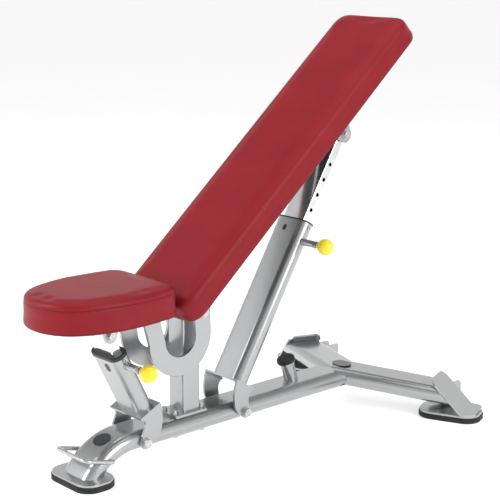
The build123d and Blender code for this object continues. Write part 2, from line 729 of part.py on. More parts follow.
def plunger_knob(strut, at):
    with BuildPart() as knob:
        with Locations(strut(at).origin + Vector(KNOB_X, 0, 0)):
            Sphere(KNOB_RADIUS)
        with BuildSketch(strut_side(strut(at), KNOB_X - KNOB_RADIUS - 3)):
            Circle(9)
        extrude(amount=8)
        with BuildSketch(strut_side(strut(at), 60)):
            Circle(PIN_RADIUS)
        extrude(amount=KNOB_X - 8 - 60, mode=Mode.SUBTRACT)
    return knob


def sleeve_screws(strut, at):
    """Button heads that hold the bush, one on each rounded side."""
    with BuildPart() as screws:
        for way in (1, -1):
            side = strut_side(strut(at), way * (SLEEVE_HALF - 1))
            with BuildSketch(side):
                Circle(4.4)
                RegularPolygon(2.2, 6, mode=Mode.SUBTRACT)
            extrude(amount=way * 3.5)
        with BuildSketch(strut(SLEEVE_START)):
            SlotOverall(TUBE_WIDTH, TUBE_DEPTH)
        extrude(amount=500, mode=Mode.SUBTRACT)
    return screws


def inner_tube(strut, eye_at, length, holes, pitch, plunger_at, eye_radius):
    """A chromed rectangular tube with a row of pin holes in its +X face."""
    with BuildPart() as tube:
        with BuildSketch(strut(eye_at - length)):
            RectangleRounded(INNER_WIDTH, INNER_DEPTH, 3)
            RectangleRounded(INNER_WIDTH - 2 * INNER_WALL, INNER_DEPTH - 2 * INNER_WALL, 1,
                             mode=Mode.SUBTRACT)
        extrude(amount=length + 15)
        with BuildSketch(strut_side(strut(eye_at), -INNER_WIDTH)):
            Circle(eye_radius)
        extrude(amount=2 * INNER_WIDTH, mode=Mode.SUBTRACT)
        for step in holes:
            with BuildSketch(strut_side(strut(plunger_at + step * pitch), INNER_WIDTH / 4)):
                Circle(HOLE_RADIUS)
            extrude(amount=INNER_WIDTH / 2, mode=Mode.SUBTRACT)
    return tube


GUIDE_FOOT = 12.0


def inner_caps(strut, eye_at, length):
    """A sliding guide on the tube's lower end and a thin cap on its upper end."""
    with BuildPart() as caps:
        with BuildSketch(strut(eye_at - length)):
            SlotOverall(TUBE_WIDTH - 2 * TUBE_WALL - 1, TUBE_DEPTH - 2 * TUBE_WALL - 1)
            RectangleRounded(INNER_WIDTH, INNER_DEPTH, 3, mode=Mode.SUBTRACT)
        extrude(amount=GUIDE_FOOT)
        with BuildSketch(strut(eye_at - length)):
            SlotOverall(TUBE_WIDTH - 2 * TUBE_WALL - 1, TUBE_DEPTH - 2 * TUBE_WALL - 1)
        extrude(amount=-3)
        with BuildSketch(strut(eye_at + 15)):
            RectangleRounded(INNER_WIDTH, INNER_DEPTH, 3)
        extrude(amount=2)
    return caps


def pivot_bolt(pivot):
    """A bolt through the main tube and both wings, with a head on one side and a nut on the other."""
    reach = SADDLE_IN + SADDLE_PLATE + WELD_GAP
    with BuildPart() as bolt:
        with BuildSketch(side_plane(-reach)):
            with Locations(pivot):
                Circle(STRUT_BOLT_RADIUS)
        extrude(amount=2 * reach)
        for way in (1, -1):
            with BuildSketch(side_plane(way * reach)):
                with Locations(pivot):
                    Circle(12.5)
            extrude(amount=way * 2)
            with BuildSketch(side_plane(way * (reach + 2))):
                with Locations(pivot):
                    RegularPolygon(11, 6)
            extrude(amount=way * 7)
        with BuildSketch(side_plane(-reach - 9)):
            with Locations(pivot):
                Circle(STRUT_BOLT_RADIUS - 1)
        extrude(amount=-4)
    return bolt


# ---------------------------------------------------------------- seat strut
SEAT_EYE_AT = eye_distance(SEAT_PIVOT, SEAT_EYE, SEAT_STRUT_ANGLE)
SEAT_EYE_PLAY = 0.9         # radial play of the seat strut's upper bolt in the inner tube
SEAT_PLUG_AT = 188.0
SEAT_PLUG = (22.0, 15.0)
SEAT_RIM = 9.0
SEAT_LINER = 14.0

seat_saddle = saddle(seat_strut, SEAT_PIVOT, SEAT_EYE, SEAT_STRUT_ANGLE)
seat_outer = sleeve(seat_strut, SEAT_SLEEVE_END, SEAT_PLUNGER_AT, SEAT_PLUG_AT, 4, SEAT_PLUG)
with BuildPart() as seat_sleeve:
    add(seat_saddle.part)
    add(seat_outer.part)
finish(seat_sleeve, "seat_sleeve")
seat_guide_plug = guide_plug(seat_strut, SEAT_PLUG_AT, 4, SEAT_PLUG)
finish(seat_guide_plug, "seat_guide_plug")
seat_bush = bush(seat_strut, SEAT_SLEEVE_END, SEAT_RIM, SEAT_LINER)
finish(seat_bush, "seat_bush")
seat_plunger_housing = plunger_housing(seat_strut, SEAT_PLUNGER_AT)
finish(seat_plunger_housing, "seat_plunger_housing")
seat_plunger_spring = plunger_spring(seat_strut, SEAT_PLUNGER_AT)
finish(seat_plunger_spring, "seat_plunger_spring")
seat_plunger_pin = plunger_pin(seat_strut, SEAT_PLUNGER_AT)
finish(seat_plunger_pin, "seat_plunger_pin")
seat_knob = plunger_knob(seat_strut, SEAT_PLUNGER_AT)
finish(seat_knob, "seat_knob")
seat_sleeve_screws = sleeve_screws(seat_strut, SEAT_SLEEVE_END - 8)
finish(seat_sleeve_screws, "seat_sleeve_screws")
seat_inner_tube = inner_tube(seat_strut, SEAT_EYE_AT, SEAT_INNER_LENGTH, range(-SEAT_HOLES + 1, 1),
                             SEAT_HOLE_PITCH, SEAT_PLUNGER_AT, STRUT_BOLT_RADIUS + SEAT_EYE_PLAY)
finish(seat_inner_tube, "seat_inner_tube")
seat_inner_caps = inner_caps(seat_strut, SEAT_EYE_AT, SEAT_INNER_LENGTH)
finish(seat_inner_caps, "seat_inner_caps")

# ---------------------------------------------------------------- back strut
BACK_EYE_AT = eye_distance(BACK_PIVOT, BACK_EYE, BACK_STRUT_ANGLE)
BACK_PLUG_AT = 452.0
BACK_PLUG = (15.0, 10.0)
BACK_RIM = 3.5
BACK_LINER = 38.0

back_saddle = saddle(back_strut, BACK_PIVOT, BACK_EYE, BACK_STRUT_ANGLE)
back_outer = sleeve(back_strut, BACK_SLEEVE_END, BACK_PLUNGER_AT, BACK_PLUG_AT, -6, BACK_PLUG)
with BuildPart() as back_sleeve:
    add(back_saddle.part)
    add(back_outer.part)
finish(back_sleeve, "back_sleeve")
back_guide_plug = guide_plug(back_strut, BACK_PLUG_AT, -6, BACK_PLUG)
finish(back_guide_plug, "back_guide_plug")
back_bush = bush(back_strut, BACK_SLEEVE_END, BACK_RIM, BACK_LINER)
finish(back_bush, "back_bush")
back_plunger_housing = plunger_housing(back_strut, BACK_PLUNGER_AT)
finish(back_plunger_housing, "back_plunger_housing")
back_plunger_spring = plunger_spring(back_strut, BACK_PLUNGER_AT)
finish(back_plunger_spring, "back_plunger_spring")
back_plunger_pin = plunger_pin(back_strut, BACK_PLUNGER_AT)
finish(back_plunger_pin, "back_plunger_pin")
back_knob = plunger_knob(back_strut, BACK_PLUNGER_AT)
finish(back_knob, "back_knob")
back_sleeve_screws = sleeve_screws(back_strut, BACK_SLEEVE_END - 10)
finish(back_sleeve_screws, "back_sleeve_screws")
back_inner_tube = inner_tube(back_strut, BACK_EYE_AT, BACK_INNER_LENGTH,
                             range(-BACK_HOLES_DOWN, BACK_HOLES_UP + 1),
                             BACK_HOLE_PITCH, BACK_PLUNGER_AT, STRUT_BOLT_RADIUS)
finish(back_inner_tube, "back_inner_tube")
back_inner_caps = inner_caps(back_strut, BACK_EYE_AT, BACK_INNER_LENGTH)
finish(back_inner_caps, "back_inner_caps")

seat_bolt = pivot_bolt(SEAT_PIVOT)
back_bolt = pivot_bolt(BACK_PIVOT)
with BuildPart() as strut_bolts:
    add(seat_bolt.part)
    add(back_bolt.part)
finish(strut_bolts, "strut_bolts")

# ================================================================ seat
HOOK_CENTRE = (-209.0, 297.0)
HOOK_OUTER = 90.0
HOOK_INNER = 45.0
HOOK_BOSS = 24.0
SEAT_UNDER = PAD_TOP_Z - SEAT_THICK
SEAT_PLATE_UNDER = SEAT_UNDER - MOUNT_PLATE


def hook_plate(x):
    """A U-shaped plate: one arm up to the hinge axle, the other up to the seat's plate."""
    cy, cz = HOOK_CENTRE
    with BuildPart() as plate:
        with BuildSketch(side_plane(x)):
            with BuildLine():
                Line((cy - HOOK_OUTER - 18, SEAT_PLATE_UNDER), (cy - HOOK_OUTER, cz))
                ThreePointArc((cy - HOOK_OUTER, cz), (cy, cz - HOOK_OUTER), (cy + HOOK_OUTER, cz))
                Line((cy + HOOK_OUTER, cz), (HINGE_Y + HOOK_BOSS, HINGE_Z))
                ThreePointArc((HINGE_Y + HOOK_BOSS, HINGE_Z), (HINGE_Y, HINGE_Z + HOOK_BOSS),
                              (HINGE_Y - HOOK_BOSS, HINGE_Z))
                Line((HINGE_Y - HOOK_BOSS, HINGE_Z), (cy + HOOK_INNER, cz))
                ThreePointArc((cy + HOOK_INNER, cz), (cy, cz - HOOK_INNER), (cy - HOOK_INNER, cz))
                Line((cy - HOOK_INNER, cz), (cy - HOOK_INNER - 18, SEAT_PLATE_UNDER))
                Line((cy - HOOK_INNER - 18, SEAT_PLATE_UNDER), (cy - HOOK_OUTER - 18, SEAT_PLATE_UNDER))
            make_face()
            with Locations((HINGE_Y, HINGE_Z)):
                Circle(HINGE_AXLE_RADIUS + RUNNING_GAP, mode=Mode.SUBTRACT)
        extrude(amount=HOOK_PLATE)
        chamfer(plate.faces().sort_by(Axis.X)[-1].outer_wire().edges(), 0.8)
    return plate


hook_plate_right = hook_plate(HOOK_IN)
finish(hook_plate_right, "hook_plate_right")
hook_plate_left = hook_plate(-HOOK_IN - HOOK_PLATE)
finish(hook_plate_left, "hook_plate_left")

SEAT_FRONT_Y = -568.0
SEAT_REAR_Y = -254.0
SEAT_REAR_HALF = 113.0
SEAT_CORNER = 40.0
SEAT_SIDE = ((129, -352), (121, -462), (82, -538))


def seat_outline(inset):
    """The seat in plan: a straight rear with round corners, full sides and a blunt round front."""
    rear = (SEAT_REAR_HALF - inset, SEAT_REAR_Y - inset)
    side = []
    for x, y in SEAT_SIDE:
        lean = sqrt(x * x + (y + 380) ** 2)
        side.append((x - inset * x / lean, y - inset * (y + 380) / lean))
    other = [(-x, y) for x, y in reversed(side)]
    with BuildSketch() as outline:
        with BuildLine():
            Spline(rear, *side, (0, SEAT_FRONT_Y + inset), *other, (-rear[0], rear[1]))
            Line((-rear[0], rear[1]), rear)
        make_face()
        fillet(outline.vertices().group_by(Axis.Y)[-1], SEAT_CORNER - inset)
    return outline.sketch


BOARD_INSET = 9.0
SEAT_SCREWS = [(x, y) for x in (-34.0, 34.0) for y in (-455.0, -300.0)]
SCREW_RADIUS = 3.0

with BuildPart() as seat_board:
    with BuildSketch(Plane.XY.offset(SEAT_UNDER)):
        add(seat_outline(BOARD_INSET))
        with Locations(*SEAT_SCREWS):
            Circle(SCREW_RADIUS, mode=Mode.SUBTRACT)
    extrude(amount=BOARD_THICK)
finish(seat_board, "seat_board")

with BuildPart() as seat_cushion:
    with BuildSketch(Plane.XY.offset(SEAT_UNDER)):
        add(seat_outline(0))
    extrude(amount=SEAT_THICK)
    fillet(seat_cushion.faces().sort_by(Axis.Z)[-1].edges(), 14)
    fillet(seat_cushion.faces().sort_by(Axis.Z)[0].edges(), 6)
    with BuildSketch(Plane.XY.offset(SEAT_UNDER)):
        add(seat_outline(BOARD_INSET))
    extrude(amount=BOARD_THICK, mode=Mode.SUBTRACT)
finish(seat_cushion, "seat_cushion")

with BuildPart() as seat_screws:
    for x, y in SEAT_SCREWS:
        with BuildSketch(Plane(origin=(x, y, SEAT_PLATE_UNDER))):
            Circle(SCREW_RADIUS)
        extrude(amount=MOUNT_PLATE + BOARD_THICK)
        with BuildSketch(Plane(origin=(x, y, SEAT_PLATE_UNDER))):
            Circle(6)
            RegularPolygon(2.5, 6, mode=Mode.SUBTRACT)
        extrude(amount=-3)
finish(seat_screws, "seat_screws")

EAR_RADIUS = 17.0
EAR_IN = RAIL_IN
EAR_PLATE = RAIL_PLATE

with BuildPart() as seat_mount:
    with BuildSketch(Plane.XY.offset(SEAT_PLATE_UNDER)):
        with Locations((0, -374)):
            RectangleRounded(122, 212, 10)
        with Locations(*SEAT_SCREWS):
            Circle(SCREW_RADIUS, mode=Mode.SUBTRACT)
    extrude(amount=MOUNT_PLATE)
    for x in (EAR_IN, -EAR_IN - EAR_PLATE):
        with BuildSketch(side_plane(x)):
            with Locations(SEAT_EYE):
                Circle(EAR_RADIUS)
            with BuildLine():
                Polyline(
                    (SEAT_EYE[0] - 30, SEAT_PLATE_UNDER),
                    (SEAT_EYE[0] - EAR_RADIUS, SEAT_EYE[1]),
                    (SEAT_EYE[0] + EAR_RADIUS, SEAT_EYE[1]),
                    (SEAT_EYE[0] + 30, SEAT_PLATE_UNDER),
                    close=True,
                )
            make_face()
            with Locations(SEAT_EYE):
                Circle(STRUT_BOLT_RADIUS, mode=Mode.SUBTRACT)
        extrude(amount=EAR_PLATE)
finish(seat_mount, "seat_mount")

EAR_REACH = EAR_IN + EAR_PLATE

with BuildPart() as seat_eye_bolt:
    with BuildSketch(side_plane(-EAR_REACH)):
        with Locations(SEAT_EYE):
            Circle(STRUT_BOLT_RADIUS)
    extrude(amount=2 * EAR_REACH)
    for way in (1, -1):
        with BuildSketch(side_plane(way * EAR_REACH)):
            with Locations(SEAT_EYE):
                Circle(11.5)
        extrude(amount=way * 1.6)
        with BuildSketch(side_plane(way * (EAR_REACH + 1.6))):
            with Locations(SEAT_EYE):
                RegularPolygon(10, 6)
        extrude(amount=way * 6)
finish(seat_eye_bolt, "seat_eye_bolt")

# ================================================================ backrest
BACK_UNDER = BACK_FACE - BACK_THICK      # pad's under side over the hinge axle
RAIL_TOP = BACK_UNDER - MOUNT_PLATE
RAIL_LOW = 4.0
RAIL_END = 650.0
BACK_LOW_END = -58.0
BACK_HIGH_END = 889.0
BACK_HALF = 119.0
BACK_EYE_T = (BACK_EYE[0] - HINGE_Y) * cos(radians(BACK_ANGLE)) + (BACK_EYE[1] - HINGE_Z) * sin(
    radians(BACK_ANGLE))
BACK_EYE_N = (BACK_EYE[1] - HINGE_Z) * cos(radians(BACK_ANGLE)) - (BACK_EYE[0] - HINGE_Y) * sin(
    radians(BACK_ANGLE))


def back_rail(x):
    """A flat side rail: boss on the hinge axle, bar under the pad, ear down to the strut's bolt."""
    with BuildPart() as rail:
        with BuildSketch(back_side(x)):
            Circle(HOOK_BOSS)
            with BuildLine():
                Polyline(
                    (0, HOOK_BOSS), (20, RAIL_TOP), (RAIL_END, RAIL_TOP), (RAIL_END, RAIL_LOW + 8),
                    (RAIL_END - 10, RAIL_LOW), (70, RAIL_LOW), (0, -HOOK_BOSS), close=True,
                )
            make_face()
            with BuildLine():
                Polyline(
                    (BACK_EYE_T - 34, RAIL_LOW), (BACK_EYE_T - 20, BACK_EYE_N),
                    (BACK_EYE_T + 20, BACK_EYE_N), (BACK_EYE_T + 34, RAIL_LOW), close=True,
                )
            make_face()
            with Locations((BACK_EYE_T, BACK_EYE_N)):
                Circle(20)
                Circle(STRUT_BOLT_RADIUS, mode=Mode.SUBTRACT)
            Circle(HINGE_AXLE_RADIUS + RUNNING_GAP, mode=Mode.SUBTRACT)
        extrude(amount=RAIL_PLATE)
    return rail


back_rail_right = back_rail(RAIL_IN)
finish(back_rail_right, "back_rail_right")
back_rail_left = back_rail(-RAIL_IN - RAIL_PLATE)
finish(back_rail_left, "back_rail_left")

BACK_PLATES = ((22.0, 92.0), (300.0, 356.0), (572.0, RAIL_END))
BACK_SCREWS = [(x, (low + high) / 2) for low, high in BACK_PLATES for x in (-62.0, 62.0)]
BACK_PLATE_HALF = 74.0

with BuildPart() as back_mount_plates:
    for low, high in BACK_PLATES:
        with BuildSketch(back_layer(RAIL_TOP)):
            with Locations((0, (low + high) / 2)):
                RectangleRounded(2 * BACK_PLATE_HALF, high - low, 8)
            with Locations(*BACK_SCREWS):
                Circle(SCREW_RADIUS, mode=Mode.SUBTRACT)
        extrude(amount=MOUNT_PLATE)
finish(back_mount_plates, "back_mount_plates")


def back_outline(inset):
    with BuildSketch() as outline:
        with Locations((0, (BACK_LOW_END + BACK_HIGH_END) / 2)):
            RectangleRounded(2 * (BACK_HALF - inset), BACK_HIGH_END - BACK_LOW_END - 2 * inset, 38 - inset)
    return outline.sketch


with BuildPart() as back_board:
    with BuildSketch(back_layer(BACK_UNDER)):
        add(back_outline(BOARD_INSET))
        with Locations(*BACK_SCREWS):
            Circle(SCREW_RADIUS, mode=Mode.SUBTRACT)
    extrude(amount=BOARD_THICK)
finish(back_board, "back_board")

with BuildPart() as back_cushion:
    with BuildSketch(back_layer(BACK_UNDER)):
        add(back_outline(0))
    extrude(amount=BACK_THICK)
    back_normal_axis = Axis((0, HINGE_Y, HINGE_Z), tuple(BACK_NORMAL))
    face_edges = back_cushion.faces().sort_by(back_normal_axis)[-1].edges()
    low_edge = face_edges.sort_by(Axis((0, HINGE_Y, HINGE_Z), tuple(BACK_ALONG)))[0]
    chamfer(low_edge, 10)
    fillet(back_cushion.faces().sort_by(back_normal_axis)[-1].edges(), 9)
    fillet(back_cushion.faces().sort_by(back_normal_axis)[0].edges(), 6)
    with BuildSketch(back_layer(BACK_UNDER)):
        add(back_outline(BOARD_INSET))
    extrude(amount=BOARD_THICK, mode=Mode.SUBTRACT)
finish(back_cushion, "back_cushion")

with BuildPart() as back_screws:
    for x, y in BACK_SCREWS:
        plate_face = back_layer(RAIL_TOP)
        spot = plate_face.origin + plate_face.x_dir * x + plate_face.y_dir * y
        with BuildSketch(Plane(origin=spot, x_dir=(1, 0, 0), z_dir=BACK_NORMAL)):
            Circle(SCREW_RADIUS)
        extrude(amount=MOUNT_PLATE + BOARD_THICK)
        with BuildSketch(Plane(origin=spot, x_dir=(1, 0, 0), z_dir=BACK_NORMAL)):
            Circle(6)
            RegularPolygon(2.5, 6, mode=Mode.SUBTRACT)
        extrude(amount=-3)
finish(back_screws, "back_screws")

with BuildPart() as back_eye_bolts:
    for way in (1, -1):
        with BuildSketch(side_plane(way * RAIL_IN)):
            with Locations(BACK_EYE):
                Circle(STRUT_BOLT_RADIUS)
        extrude(amount=way * RAIL_PLATE)
        with BuildSketch(side_plane(way * EAR_REACH)):
            with Locations(BACK_EYE):
                Circle(11.5)
        extrude(amount=way * 1.6)
        with BuildSketch(side_plane(way * (EAR_REACH + 1.6))):
            with Locations(BACK_EYE):
                RegularPolygon(10, 6)
        extrude(amount=way * 6)
finish(back_eye_bolts, "back_eye_bolts")
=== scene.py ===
import json
import math

import bmesh
import bpy
from mathutils import Matrix, Vector


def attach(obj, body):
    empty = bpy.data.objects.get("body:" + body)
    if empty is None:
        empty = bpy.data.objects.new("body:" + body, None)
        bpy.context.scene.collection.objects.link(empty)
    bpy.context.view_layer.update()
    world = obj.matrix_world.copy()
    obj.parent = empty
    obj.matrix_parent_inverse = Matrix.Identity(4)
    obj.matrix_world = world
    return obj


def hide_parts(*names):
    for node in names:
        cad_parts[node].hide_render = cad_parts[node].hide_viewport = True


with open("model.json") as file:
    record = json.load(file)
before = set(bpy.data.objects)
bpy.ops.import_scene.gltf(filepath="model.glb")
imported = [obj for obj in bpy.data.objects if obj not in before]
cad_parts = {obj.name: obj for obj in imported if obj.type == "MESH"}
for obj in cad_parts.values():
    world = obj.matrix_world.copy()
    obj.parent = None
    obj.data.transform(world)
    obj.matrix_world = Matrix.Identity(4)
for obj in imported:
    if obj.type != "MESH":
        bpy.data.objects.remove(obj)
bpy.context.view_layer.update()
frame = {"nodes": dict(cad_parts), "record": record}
MM = 0.001


# ---------------------------------------------------------------- materials
class Mat:
    """A Principled material whose colour, roughness and bump come from procedural nodes."""

    def __init__(self, name, **sockets):
        self.material = bpy.data.materials.new(name)
        self.material.use_nodes = True
        self.nodes = self.material.node_tree.nodes
        self.links = self.material.node_tree.links
        self.shader = self.nodes["Principled BSDF"]
        for socket, value in sockets.items():
            self.shader.inputs[socket.replace("_", " ")].default_value = value
        self.place = self.nodes.new("ShaderNodeTexCoord").outputs["Object"]

    def stretch(self, scale):
        """Object coordinates, scaled by axis."""
        mapping = self.nodes.new("ShaderNodeMapping")
        mapping.inputs["Scale"].default_value = scale
        self.links.new(self.place, mapping.inputs["Vector"])
        return mapping.outputs["Vector"]

    def noise(self, scale, detail=4.0, rough=0.5, place=None):
        node = self.nodes.new("ShaderNodeTexNoise")
        node.inputs["Scale"].default_value = scale
        node.inputs["Detail"].default_value = detail
        node.inputs["Roughness"].default_value = rough
        self.links.new(place or self.place, node.inputs["Vector"])
        return node.outputs["Fac"]

    def cells(self, scale):
        node = self.nodes.new("ShaderNodeTexVoronoi")
        node.inputs["Scale"].default_value = scale
        self.links.new(self.place, node.inputs["Vector"])
        return node.outputs["Distance"]

    def ramp(self, value, low, high, start=0.35, end=0.65):
        node = self.nodes.new("ShaderNodeValToRGB")
        node.color_ramp.elements[0].position = start
        node.color_ramp.elements[1].position = end
        node.color_ramp.elements[0].color = (*low, 1)
        node.color_ramp.elements[1].color = (*high, 1)
        self.links.new(value, node.inputs["Fac"])
        return node.outputs["Color"]

    def span(self, value, low, high):
        node = self.nodes.new("ShaderNodeMapRange")
        node.inputs["To Min"].default_value = low
        node.inputs["To Max"].default_value = high
        self.links.new(value, node.inputs["Value"])
        return node.outputs["Result"]

    def feed(self, socket, value):
        self.links.new(value, self.shader.inputs[socket])

    def bump(self, value, distance, strength=1.0, under=None):
        node = self.nodes.new("ShaderNodeBump")
        node.inputs["Distance"].default_value = distance
        node.inputs["Strength"].default_value = strength
        self.links.new(value, node.inputs["Height"])
        if under:
            self.links.new(under, node.inputs["Normal"])
        self.links.new(node.outputs["Normal"], self.shader.inputs["Normal"])
        return node.outputs["Normal"]


def frame_paint():
    """Silver metallic paint: fine flake, a very faint texture and a clear top."""
    mat = Mat("frame_paint", Metallic=0.85, Coat_Weight=0.5, Coat_Roughness=0.10)
    flake = mat.noise(2600, 2)
    mat.feed("Base Color", mat.ramp(flake, (0.37, 0.375, 0.38), (0.43, 0.435, 0.44), 0.3, 0.7))
    mat.feed("Roughness", mat.span(mat.noise(40, 2), 0.24, 0.28))
    mat.bump(mat.noise(420, 1), 0.000008)
    return mat.material


def upholstery(name, low, high):
    """Red vinyl with a fine leather grain."""
    mat = Mat(name, Specular_IOR_Level=0.22)
    mat.feed("Base Color", mat.ramp(mat.noise(9, 5), low, high))
    grain = mat.cells(950)
    mat.feed("Roughness", mat.span(mat.noise(420, 3), 0.36, 0.50))
    soft = mat.bump(mat.noise(26, 3), 0.0006, 0.5)
    mat.bump(grain, 0.00025, 0.35, soft)
    return mat.material


def rubber():
    mat = Mat("rubber", Specular_IOR_Level=0.25)
    mat.feed("Base Color", mat.ramp(mat.noise(120, 4), (0.012, 0.012, 0.013), (0.026, 0.026, 0.027)))
    mat.feed("Roughness", mat.span(mat.noise(300, 3), 0.50, 0.68))
    mat.bump(mat.noise(900, 3), 0.00012, 0.6)
    return mat.material


def black_plastic():
    mat = Mat("plastic_black")
    mat.feed("Base Color", mat.ramp(mat.noise(80, 3), (0.011, 0.011, 0.012), (0.021, 0.021, 0.022)))
    mat.feed("Roughness", mat.span(mat.noise(500, 2), 0.32, 0.44))
    mat.bump(mat.noise(1500, 2), 0.00006, 0.6)
    return mat.material


def yellow_knob():
    mat = Mat("knob_yellow", Coat_Weight=0.5, Coat_Roughness=0.06)
    mat.feed("Base Color", mat.ramp(mat.noise(60, 3), (0.84, 0.63, 0.008), (0.90, 0.72, 0.02)))
    mat.feed("Roughness", mat.span(mat.noise(200, 2), 0.20, 0.28))
    return mat.material


def chrome():
    """Polished tube with very fine marks along its length."""
    mat = Mat("chrome", Metallic=1.0)
    mat.feed("Base Color", mat.ramp(mat.noise(30, 3), (0.70, 0.71, 0.73), (0.80, 0.81, 0.82)))
    marks = mat.noise(700, 2, place=mat.stretch((1, 0.08, 0.08)))
    mat.feed("Roughness", mat.span(marks, 0.07, 0.15))
    return mat.material


def zinc():
    mat = Mat("steel", Metallic=1.0)
    mat.feed("Base Color", mat.ramp(mat.noise(140, 4), (0.46, 0.46, 0.46), (0.62, 0.62, 0.61)))
    mat.feed("Roughness", mat.span(mat.noise(400, 3), 0.24, 0.40))
    mat.bump(mat.noise(1100, 2), 0.00004)
    return mat.material


def board():
    """Black-faced plywood with a faint grain along its length."""
    mat = Mat("board")
    grain = mat.noise(40, 6, place=mat.stretch((6, 0.5, 6)))
    mat.feed("Base Color", mat.ramp(grain, (0.016, 0.014, 0.013), (0.040, 0.036, 0.033)))
    mat.feed("Roughness", mat.span(grain, 0.55, 0.75))
    mat.bump(grain, 0.0002, 0.4)
    return mat.material


def badge():
    mat = Mat("badge", Coat_Weight=0.3, Coat_Roughness=0.05)
    mat.feed("Base Color", mat.ramp(mat.noise(70, 3), (0.012, 0.013, 0.016), (0.024, 0.026, 0.031)))
    mat.feed("Roughness", mat.span(mat.noise(300, 2), 0.18, 0.26))
    return mat.material


def wheel_core():
    mat = Mat("wheel_core")
    mat.feed("Base Color", mat.ramp(mat.noise(90, 3), (0.030, 0.031, 0.033), (0.052, 0.053, 0.055)))
    mat.feed("Roughness", mat.span(mat.noise(300, 2), 0.30, 0.42))
    return mat.material


RED_LOW = (0.205, 0.0040, 0.0090)
RED_HIGH = (0.232, 0.0055, 0.0118)
MATERIALS = {
    "frame_paint": frame_paint(),
    "upholstery": upholstery("upholstery", RED_LOW, RED_HIGH),
    "rubber": rubber(),
    "plastic_black": black_plastic(),
    "knob_yellow": yellow_knob(),
    "chrome": chrome(),
    "steel": zinc(),
    "board": board(),
    "badge": badge(),
    "wheel_core": wheel_core(),
}
# The seam cord is real thread, coloured darker than the cover as painted shade in the seam's crease.
THREAD_AND_SHADE = upholstery("seam_thread_painted_shade", (0.085, 0.002, 0.005), (0.115, 0.003, 0.006))


def dress(obj, material):
    obj.data.materials.clear()
    obj.data.materials.append(material)


for part in frame["record"]["subparts"]:
    node = frame["nodes"][part["node"]]
    for place in node.material_slots:
        place.material = MATERIALS[part["material_slot"]]


# ---------------------------------------------------------------- cushions
VOXEL = 5 * MM
INSET = 1.5 * MM         # the pad starts this much smaller, because it swells
SWELL = 4.5 * MM         # the furthest that a point may swell
BOARD_LEVEL = 14 * MM    # the cover is held to the board below this height
HELD_FADE = 10 * MM      # the inset grows to its full depth over this height
PRESSURE = 4
SEAM_WIDTH = 2.6 * MM    # how far a sewn line's dip spreads up and down
LEAST_PULL = 0.02 * MM   # a dip shallower than this is left out
SEAM_POINTS = 260
FRAMES = 20


def pad_space(tilt, pivot):
    """The matrix that takes a pad's own space, flat and face up, to the row frame."""
    return Matrix.Translation(pivot) @ Matrix.Rotation(tilt, 4, "X")


def pad_mesh(node, space, name):
    """A copy of a CAD cushion in its own space, with even quads."""
    source = frame["nodes"][node]
    copy = source.data.copy()
    copy.transform(space.inverted() @ source.matrix_world)
    copy.name = name
    obj = bpy.data.objects.new(name, copy)
    bpy.context.scene.collection.objects.link(obj)
    obj.data.remesh_voxel_size = VOXEL
    obj.data.remesh_voxel_adaptivity = 0
    bpy.context.view_layer.objects.active = obj
    for other in bpy.context.selected_objects:
        other.select_set(False)
    obj.select_set(True)
    bpy.ops.object.voxel_remesh()
    return obj


def relax(obj, rounds, above):
    """Even out the mesh above a height."""
    mesh = bmesh.new()
    mesh.from_mesh(obj.data)
    free = [v for v in mesh.verts if v.co.z > above]
    for _ in range(rounds):
        bmesh.ops.smooth_vert(
            mesh, verts=free, factor=0.5, use_axis_x=True, use_axis_y=True, use_axis_z=True
        )
    mesh.to_mesh(obj.data)
    mesh.free()


def inflate(obj, base):
    """Cloth under pressure, held along the board, with its travel capped and no travel inward."""
    data = obj.data
    normals = [v.normal.copy() for v in data.vertices]
    start = []
    for vertex, normal in zip(data.vertices, normals):
        free = min(max((vertex.co.z - base - BOARD_LEVEL) / HELD_FADE, 0), 1)
        vertex.co -= normal * (INSET * free)
        start.append(vertex.co.copy())
    held = obj.vertex_groups.new(name="held")
    held.add([v.index for v in data.vertices if v.co.z < base + BOARD_LEVEL], 1.0, "REPLACE")
    cloth = obj.modifiers.new("cloth", "CLOTH")
    cloth.settings.quality = 5
    cloth.settings.mass = 0.3
    cloth.settings.tension_stiffness = 25
    cloth.settings.compression_stiffness = 25
    cloth.settings.bending_stiffness = 3
    cloth.settings.use_pressure = True
    cloth.settings.uniform_pressure_force = PRESSURE
    cloth.settings.vertex_group_mass = "held"
    cloth.settings.effector_weights.gravity = 0
    cloth.collision_settings.use_collision = False
    cloth.point_cache.frame_end = FRAMES
    scene = bpy.context.scene
    for step in range(1, FRAMES + 1):
        scene.frame_set(step)
    shape = obj.evaluated_get(bpy.context.evaluated_depsgraph_get())
    moved = [v.co.copy() for v in shape.data.vertices]
    obj.modifiers.remove(cloth)
    for vertex, normal, first, last in zip(data.vertices, normals, start, moved):
        step = last - first
        step -= normal * min(step.dot(normal), 0)
        if step.length > SWELL:
            step *= SWELL / step.length
        vertex.co = first + step
    scene.frame_set(1)


def subdivide(obj):
    """One level of subdivision, applied."""
    modifier = obj.modifiers.new("fine", "SUBSURF")
    modifier.levels = 1
    shape = obj.evaluated_get(bpy.context.evaluated_depsgraph_get())
    fine = bpy.data.meshes.new_from_object(shape)
    obj.modifiers.remove(modifier)
    obj.data = fine


def groove(obj, height, depth, width):
    """A sewn line round the pad's side, drawn in by the thread."""
    normals = [v.normal.copy() for v in obj.data.vertices]
    for vertex, normal in zip(obj.data.vertices, normals):
        side = Vector((normal.x, normal.y, 0))
        pull = depth * math.exp(-(((vertex.co.z - height) / width) ** 2))
        if side.length > 0.3 and pull > LEAST_PULL:
            vertex.co -= side.normalized() * pull
    obj.data.update()


